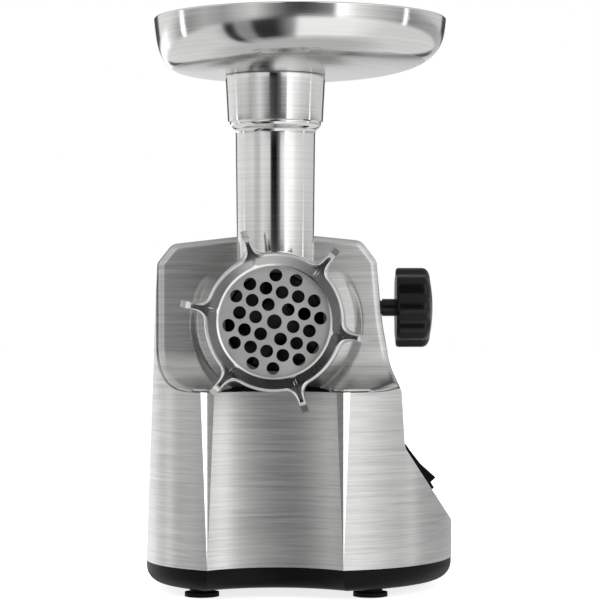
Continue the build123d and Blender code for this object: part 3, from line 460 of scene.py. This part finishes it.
def barrel():
    """A closed profile turned about the barrel's axis: threaded front, body, rear spigot, bush bore and
    chamber. The thread is drawn as five plain grooves 2.6 mm apart, not as a helix."""
    low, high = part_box("grinder_head")
    front, back = low[1], high[1]
    shoulder = HEAD[1] + 37.6 * MM
    thread_end = HEAD[1] - 33 * MM
    profile = [(31.2, front), (33.4, front), (34.0, front + 0.6 * MM)]
    for turn in range(5):
        at = front + (1.4 + 2.6 * turn) * MM
        profile += [(34.0, at), (33.2, at + 0.9 * MM), (33.2, at + 1.3 * MM), (34.0, at + 2.2 * MM)]
    profile += [(34.0, thread_end - 0.5 * MM), (33.5, thread_end), (31.6, thread_end)]
    profile += [(31.1, thread_end + 0.25 * MM)]
    profile += [(31.0, y) for y in np.linspace(thread_end + 1 * MM, shoulder - 0.6 * MM, 62)]
    profile += [(30.4, shoulder), (29.3, shoulder), (29.0, shoulder + 0.3 * MM), (29.0, back - 1 * MM)]
    profile += [(28.0, back), (11.0, back)]
    profile += [(11.0, HEAD[1] + 44 * MM), (25.0, HEAD[1] + 44 * MM), (26.0, HEAD[1] + 43 * MM)]
    profile += [(26.0, y) for y in np.linspace(HEAD[1] + 42 * MM, front + 4 * MM, 70)]
    profile += [(26.0, front + 3.9 * MM), (31.2, front + 3.9 * MM)]
    radius, y = np.array(profile)[:, 0, None] * MM, np.array(profile)[:, 1, None]
    around = np.linspace(0, 2 * math.pi, 200, endpoint=False)
    x = HEAD[0] + radius * np.cos(around)
    z = HEAD[2] + radius * np.sin(around)
    return np.stack([x, np.broadcast_to(y, x.shape), z], -1)


def head_casting():
    """The tube and barrel in one mesh. The barrel's quads over the feed bore are left out, and the tube's
    wall covers the opening's edge."""
    tube = surface("feed_tube", feed_tube(), wrap_rows=True, wrap_cols=True, flip=True)
    turned = barrel()
    under_tube = np.hypot(turned[..., 0] - HEAD[0], turned[..., 1] - HEAD[1]) < 20.8 * MM
    open_top = under_tube & (turned[..., 2] > HEAD[2] + 10 * MM)
    body = surface("head_casting", turned, wrap_rows=True, wrap_cols=True, flip=True, keep=~open_top.ravel())
    joined = bmesh.new()
    joined.from_mesh(body.data)
    joined.from_mesh(tube.data)
    joined.to_mesh(body.data)
    joined.free()
    body.data.shade_smooth()
    body.data.set_sharp_from_angle(angle=math.radians(38))
    bpy.data.objects.remove(tube)
    return body


# ---------------------------------------------------------------- clamp knob
def clamp_knob():
    """A profile turned about the stud's axis, whose radius dips in eight hollows; the dips fade at both
    ends."""
    radius = (KNOB_HIGH[2] - KNOB_LOW[2]) / 2
    inner, outer = KNOB_LOW[0], KNOB_HIGH[0]
    turn = np.linspace(0, math.pi / 2, 10)
    small, large, bulge = 1.6 * MM, 6 * MM, 1.6 * MM
    fall = large - bulge
    round_in = [(radius - small + small * math.sin(a), inner + small * (1 - math.cos(a))) for a in turn]
    flat_r = radius - large
    round_out = [(flat_r + large * math.cos(a), outer - bulge - fall * (1 - math.sin(a))) for a in turn]
    dome = [(r, outer - bulge * (r / flat_r) ** 2) for r in np.linspace(flat_r, 0, 12)[1:]]
    face = [(r, inner) for r in np.linspace(0, radius - small, 8)[:-1]]
    side = [(radius, x) for x in np.linspace(inner + small, outer - large, 8)[1:-1]]
    profile = np.array(face + round_in + side + round_out + dome)
    around = np.linspace(0, 2 * math.pi, 224, endpoint=False)
    dip = 2.6 * MM * (0.5 - 0.5 * np.cos(8 * around)) ** 1.6
    share = np.clip((profile[:, 0, None] - radius * 0.55) / (radius * 0.45), 0, 1) ** 1.5
    r = profile[:, 0, None] - dip * share
    y0, z0 = middle("clamp_knob", 1), middle("clamp_knob", 2)
    x = np.broadcast_to(profile[:, 1, None], r.shape)
    grid = np.stack([x, y0 + r * np.cos(around), z0 + r * np.sin(around)], -1)
    return surface("lobed_knob", grid, wrap_cols=True)


# ---------------------------------------------------------------- front fascia
FASCIA_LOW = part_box("front_fascia")[0]
FACE_Y = HEAD[1] + 24.0 * MM
LEDGE_Z = FASCIA_LOW[2] + 2.2 * MM
FOOT_R = 22.0 * MM
CORNER_Z = 184.5 * MM
RIDGE_X, RIDGE_Y = 37.0, -4.0
LEFT_BACK, RIGHT_BACK = 58.0, 79.0


def side_edges(z):
    """Left and right edges of the housing at each height: straight and leaning on the left, and a line, a
    hollow and a flare on the right."""
    heights = [98, 108, 112, 114, 116, 118, 122, 126, 130, 134, 140, 146, 152, 158, 165, 178, 184, 215]
    right = [
        56.98, 56.37, 56.12, 55.94, 55.17, 54.34, 52.69, 51.06, 49.81,
        48.97, 47.85, 46.72, 45.73, 45.05, 44.41, 43.23, 42.68, 42.6,
    ]
    left = -83.07 * MM + (z - 100 * MM) * 0.0435
    return left, np.interp(z, np.array(heights) * MM, np.array(right) * MM)


def top_edge(x):
    """Height of the housing's top at each X: a long flat arch with cut and rounded corners."""
    across = [
        -82, -79.6, -79.1, -78.4, -77.2, -75.2, -73.2, -71.7, -70.2, -68.2, -65, -50, -35, -25, -13.4,
        0, 10, 20, 28, 30.5, 32.5, 34, 35.5, 37.5, 39.5, 41, 41.9, 42.3, 42.6, 45,
    ]
    height = [
        184, 184.1, 185.09, 186.16, 187.68, 190.2, 192.72, 194.34, 195.26, 195.83, 196.2, 197.94, 199.63,
        200.37, 200.72, 200.46, 199.8, 198.81, 198.0, 197.75, 197.34, 196.59, 195.26, 192.63, 189.98, 187.99,
        186.76, 185.96, 184.8, 184,
    ]
    return np.interp(x, np.array(across) * MM, np.array(height) * MM)


def arc_radius(half_chord, sag):
    """Radius of an arc from half its chord and its height over the chord."""
    return (half_chord**2 + sag**2) / (2 * sag)


def front_edge(x):
    """The housing's front in plan, as Y at each X: a hollow arc 16 mm deep between two ridges, and outside
    each ridge a round lobe, an arc that runs straight back where it reaches the widest X."""
    side, hollow_depth = 87.5, 16.0
    off = (x - HEAD[0]) / MM
    hollow_r = arc_radius(RIDGE_X, hollow_depth)
    hollow = RIDGE_Y + hollow_depth - (hollow_r - np.sqrt(np.maximum(hollow_r**2 - off**2, 0)))
    left_r = arc_radius(LEFT_BACK - RIDGE_Y, side - 50.4)
    left = LEFT_BACK - np.sqrt(np.maximum(left_r**2 - (x / MM + side - left_r) ** 2, 0))
    right_r = arc_radius(RIGHT_BACK - RIDGE_Y, side - 23.6)
    right = RIGHT_BACK - np.sqrt(np.maximum(right_r**2 - (x / MM - side + right_r) ** 2, 0))
    return HEAD[1] + np.where(off < -RIDGE_X, left, np.where(off > RIDGE_X, right, hollow)) * MM


def crowded(count, length, edge, dense):
    """Shares from 0 to 1 with dense extra samples over an edge's width at both ends."""
    share = edge / length
    ends = np.linspace(0, share, dense, endpoint=False)
    return np.concatenate([ends, np.linspace(share, 1 - share, count), 1 - ends[::-1]])


def front_fascia():
    """A sheet that hangs straight, rounds forward through a quarter circle and ends on a level ledge. It is
    laid out flat as (x, way), where way runs down the profile. Its rim rolls back by 1.5 mm over the last
    3.4 mm, and by 0.4 of that on the ledge. A round dish about the head deepens evenly downwards, with an
    eased wall."""
    fold = LEDGE_Z + FOOT_R
    arc = FOOT_R * math.pi / 2
    rim_width, rim_drop = 3.4 * MM, 1.5 * MM
    dish_z, dish_r, dish_wall, soft = 152 * MM, 48.3 * MM, 4.2 * MM, 0.6 * MM
    ring, snap_width = 31.6 * MM, 0.9 * MM

    def place(way):
        """Y, Z and the outward normal's Y and Z at each way down the profile, from 0 at the fold."""
        swing = np.clip(way / FOOT_R, 0, math.pi / 2)
        beyond = np.maximum(way - arc, 0)
        y = FACE_Y - FOOT_R * (1 - np.cos(swing)) - beyond
        z = np.where(way < 0, fold - way, fold - FOOT_R * np.sin(swing))
        return y, z, -np.cos(swing), np.sin(swing)

    across = crowded(190, 126 * MM, 5 * MM, 12)
    left0, right0 = side_edges(CORNER_Z)
    start_x = left0 + (right0 - left0) * across
    start = fold - top_edge(start_x)
    ways = np.linspace(float(start.min()), arc + 16 * MM, 900)
    y, z, _, _ = place(ways)
    left, right = side_edges(np.minimum(z, CORNER_Z))
    lobe_x = np.linspace(-87.4, -50.5, 200) * MM
    lobe_left = np.interp(-y, -front_edge(lobe_x), lobe_x)
    lobe_x = np.linspace(87.4, 23.7, 200) * MM
    lobe_right = np.interp(-y, -front_edge(lobe_x), lobe_x)
    left = np.maximum(left, np.where(y < HEAD[1] + LEFT_BACK * MM, lobe_left, -1))
    right = np.minimum(right, np.where(y < HEAD[1] + RIGHT_BACK * MM, lobe_right, 1))
    stop_x = left[:, None] + (right - left)[:, None] * across
    outside = (y[:, None] < front_edge(stop_x)) & (ways[:, None] > arc * 0.5)
    stop = ways[np.where(outside.any(0), outside.argmax(0), len(ways) - 1)]
    down = crowded(190, 110 * MM, 5 * MM, 12)[:, None]
    way = start + (stop - start) * down
    x_left, x_right = np.interp(way, ways, left), np.interp(way, ways, right)
    x = x_left + (x_right - x_left) * across
    rim = np.concatenate([
        np.stack([x[:, 0], way[:, 0]], 1),
        np.stack([x[-1], way[-1]], 1),
        np.stack([x[::-1, -1], way[::-1, -1]], 1),
        np.stack([x[0, ::-1], way[0, ::-1]], 1),
    ])
    points = np.stack([x.ravel(), way.ravel()], 1)
    away = np.ones(len(points))
    for a, b in zip(rim, np.roll(rim, -1, axis=0)):
        span = b - a
        size = float(span @ span)
        if size < 1e-14:
            continue
        along = np.clip(((points - a) @ span) / size, 0, 1)
        away = np.minimum(away, np.hypot(*(points - a - along[:, None] * span).T))
    away = away.reshape(x.shape)
    roll = 1 - np.clip(away / rim_width, 0, 1)
    drop = rim_drop * roll**1.7
    drop = np.where(way > arc, drop * 0.4, drop)
    y, z, ny, nz = place(way)
    y, z = y - ny * drop, z - nz * drop
    off = np.hypot(x - HEAD[0], z - dish_z)
    ease = np.clip((dish_r - off) / dish_wall, 0, 1)
    ease = ease * ease * (3 - 2 * ease)
    deep = np.clip((182 * MM - z) / 6, 0, 12 * MM)
    deep = deep - soft * (1 - np.exp(-deep / soft))
    target = np.maximum(y, FACE_Y + deep)
    y = y + (target - y) * ease * (way < arc + 1 * MM)
    hole = np.hypot(x - HEAD[0], z - HEAD[2])
    snap = (hole < ring) & (hole > ring - snap_width)
    scale = np.where(snap, ring / np.maximum(hole, 1e-9), 1.0)
    x, z = HEAD[0] + (x - HEAD[0]) * scale, HEAD[2] + (z - HEAD[2]) * scale
    keep = (hole > ring - snap_width).ravel()
    sheet = surface("scooped_fascia", np.stack([x, y, z], -1), keep=keep, sharp=30, flip=True)
    wall = sheet.modifiers.new("wall", "SOLIDIFY")
    wall.thickness = 1.6 * MM
    wall.offset = -1
    return sheet


def ridge_facet(name, side, outer):
    """One polished face of the crease along a front ridge. It starts as a line at the seam and widens
    evenly to the ledge, between the crest of the ridge and the panel beside it."""
    low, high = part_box("base_tray")[1][2] + 0.3 * MM, FASCIA_LOW[2] - 0.1 * MM
    crest_x = HEAD[0] + side * RIDGE_X * MM
    reach = 3.7 * MM * (side if outer else -side)
    proud, crest_rise = 0.06, 2.62
    rows = []
    for share in np.linspace(0.02, 1, 24):
        edge_x = crest_x + reach * share
        edge_y = float(front_edge(np.array([edge_x]))[0]) - proud * MM
        crest_y = HEAD[1] + (RIDGE_Y - proud - crest_rise * share) * MM
        z = low + (high - low) * share
        part = np.linspace(0, 1, 4)
        x, y = crest_x + (edge_x - crest_x) * part, crest_y + (edge_y - crest_y) * part
        rows.append(np.stack([x, y, np.full(len(part), z)], 1))
    facet = surface(name, np.array(rows), flip=reach <= 0)
    paint(facet, CREASE)
    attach(facet, "housing")
    return facet


tray = hopper_tray()
stands_for(tray, "tray", "hopper_tray", TRAY_STEEL)
two_tone(tray, TRAY_FLOOR, lambda face: face.normal.z < -0.86)
ring = ring_nut()
stands_for(ring, "ring", "ring_nut", RING_METAL)
two_tone(ring, BRIGHT_EDGE, lambda face: face.normal.y > -0.97)
stands_for(head_casting(), "head", "grinder_head", POLISHED)
stands_for(clamp_knob(), "knob", "clamp_knob", GLOSS)
stands_for(front_fascia(), "housing", "front_fascia", FASCIA_STEEL)
ridge_facet("left_ridge_outer", -1, True)
ridge_facet("left_ridge_inner", -1, False)
ridge_facet("right_ridge_outer", 1, True)
ridge_facet("right_ridge_inner", 1, False)


# ---------------------------------------------------------------- camera and studio
CAMERA_AWAY, CAMERA_Z, FRAME_WIDTH, SENSOR = 1.25, 0.1644, 0.327, 36.0

camera = bpy.data.objects.new("camera", bpy.data.cameras.new("camera"))
bpy.context.scene.collection.objects.link(camera)
camera.location = (0.0, HEAD[1] - CAMERA_AWAY, CAMERA_Z)
camera.rotation_euler = (math.pi / 2, 0, 0)
camera.data.sensor_width = SENSOR
camera.data.lens = SENSOR * CAMERA_AWAY / FRAME_WIDTH
bpy.context.scene.camera = camera
bpy.context.scene.view_settings.view_transform = "Standard"

floor_grid = np.array([[[x, y, -0.0002] for x in (-6.0, 6.0)] for y in (-6.0, 6.0)])
floor = surface("floor", floor_grid)
pale = {"Base Color": linear("#E6E6E6"), "Roughness": 0.9}
pale.update({"Emission Color": grey(1.0), "Emission Strength": 0.8})
paint(floor, finish_named("pale_sweep", pale)[0])
floor.visible_glossy = False

world = bpy.data.worlds.new("studio")
bpy.context.scene.world = world
world.use_nodes = True
tree = world.node_tree
tree.nodes.clear()
way = add(tree, "ShaderNodeSeparateXYZ", {0: add(tree, "ShaderNodeTexCoord").outputs["Generated"]})
front = add(tree, "ShaderNodeMath", {0: way.outputs["Y"], 1: -1.0}, operation="MULTIPLY").outputs[0]
turn = add(tree, "ShaderNodeMath", {0: way.outputs["X"], 1: front}, operation="ARCTAN2").outputs[0]
share = add(tree, "ShaderNodeMapRange", {"Value": turn, "From Min": -math.pi, "From Max": math.pi}).outputs[0]


def bands(stops):
    """Grey levels of light round the compass, from (degrees from the front, level), positive to the right."""
    return ramp(tree, share, [((angle + 180) / 360, grey(level)) for angle, level in stops])


# Light that comes from level and above, from slightly below level, and from well below it.
UPPER = [
    (-180, 0.9), (-170, 0.8), (-167, 0.08), (-151, 0.08), (-147, 0.95), (-126, 0.95), (-87, 0.86),
    (-68, 0.92), (-58, 0.66), (-48, 0.66), (-40, 0.95), (-15, 0.9), (-12, 0.0), (3, 0.0), (7, 0.1),
    (12, 0.25), (16, 0.95), (30, 1.45), (52, 1.4), (64, 1.05), (87, 0.87), (138, 0.75), (147, 0.75),
    (151, 0.08), (167, 0.08), (171, 0.8), (180, 0.9),
]
LOWER = [
    (-180, 1.1), (-134, 1.5), (-127, 1.0), (-118, 0.72), (-108, 0.38), (-107, 2.6), (-103.5, 2.6),
    (-102.5, 0.32), (-90, 0.45), (-80, 0.57), (-62, 0.42), (-50, 0.62), (-36, 0.82), (-20, 0.3), (-9, 0.11),
    (2, 0.06), (12, 0.13), (26, 0.3), (30, 1.9), (36, 1.5), (46, 1.02), (55, 0.82), (66, 0.66), (82, 0.5),
    (88.7, 0.32), (89, 2.6), (92.3, 2.6), (93, 0.3), (110, 0.42), (126, 0.46), (165, 0.6), (180, 1.0),
]
UNDER = [
    (-180, 0.85), (-166, 0.8), (-163, 0.1), (-159, 0.1), (-155, 0.9), (-75, 0.85), (-66, 0.7), (-62, 0.04),
    (-56, 0.04), (-52, 0.36), (-41, 0.34), (-37, 0.04), (-20, 0.04), (-15, 0.12), (-5, 0.4), (0, 1.2),
    (45, 1.2), (75, 0.9), (155, 0.85), (159, 0.1), (163, 0.1), (166, 0.8), (180, 0.85),
]


def blend(first, second, low, high):
    """Fades from one grey to the other as the direction's height goes from low to high."""
    limits = {"From Min": low, "From Max": high}
    part = add(tree, "ShaderNodeMapRange", {"Value": way.outputs["Z"], **limits}).outputs[0]
    node = add(tree, "ShaderNodeMix", {"Factor": part}, data_type="RGBA")
    for socket, value in ((6, first), (7, second)):
        if isinstance(value, float):
            node.inputs[socket].default_value = grey(value)
        else:
            tree.links.new(value, node.inputs[socket])
    return node.outputs[2]


floor_light = blend(0.62, bands(UNDER), -0.9, -0.72)
low_light = blend(floor_light, bands(LOWER), -0.22, -0.15)
round_light = blend(low_light, bands(UPPER), -0.02, 0.03)
light = blend(round_light, 0.6, 0.3, 0.8)
lit = add(tree, "ShaderNodeBackground", {"Color": light, "Strength": 1.0})
white = add(tree, "ShaderNodeBackground", {"Color": grey(1.0), "Strength": 1.0})
seen = add(tree, "ShaderNodeLightPath").outputs["Is Camera Ray"]
either = add(tree, "ShaderNodeMixShader", {0: seen, 1: lit.outputs[0], 2: white.outputs[0]})
add(tree, "ShaderNodeOutputWorld", {"Surface": either.outputs[0]})


def softbox(name, place, target, size, power):
    """A rectangular area light that faces its target."""
    lamp = bpy.data.objects.new(name, bpy.data.lights.new(name, "AREA"))
    bpy.context.scene.collection.objects.link(lamp)
    lamp.data.shape = "RECTANGLE"
    lamp.data.size, lamp.data.size_y = size
    lamp.data.energy = power
    lamp.location = place
    lamp.visible_glossy = False
    aim = np.array(target) - np.array(place)
    flat = math.hypot(aim[0], aim[1])
    lamp.rotation_euler = (math.pi / 2 + math.atan2(aim[2], flat), 0, math.atan2(-aim[0], aim[1]))
    return lamp


softbox("key_left", (-1.1, -1.0, 0.9), (0, 0, 0.15), (0.5, 1.0), 4)
softbox("key_right", (1.2, -0.8, 0.7), (0, 0, 0.15), (0.5, 1.0), 4)
softbox("overhead", (0.0, -0.1, 1.5), (0, 0, 0.1), (1.2, 1.2), 6)
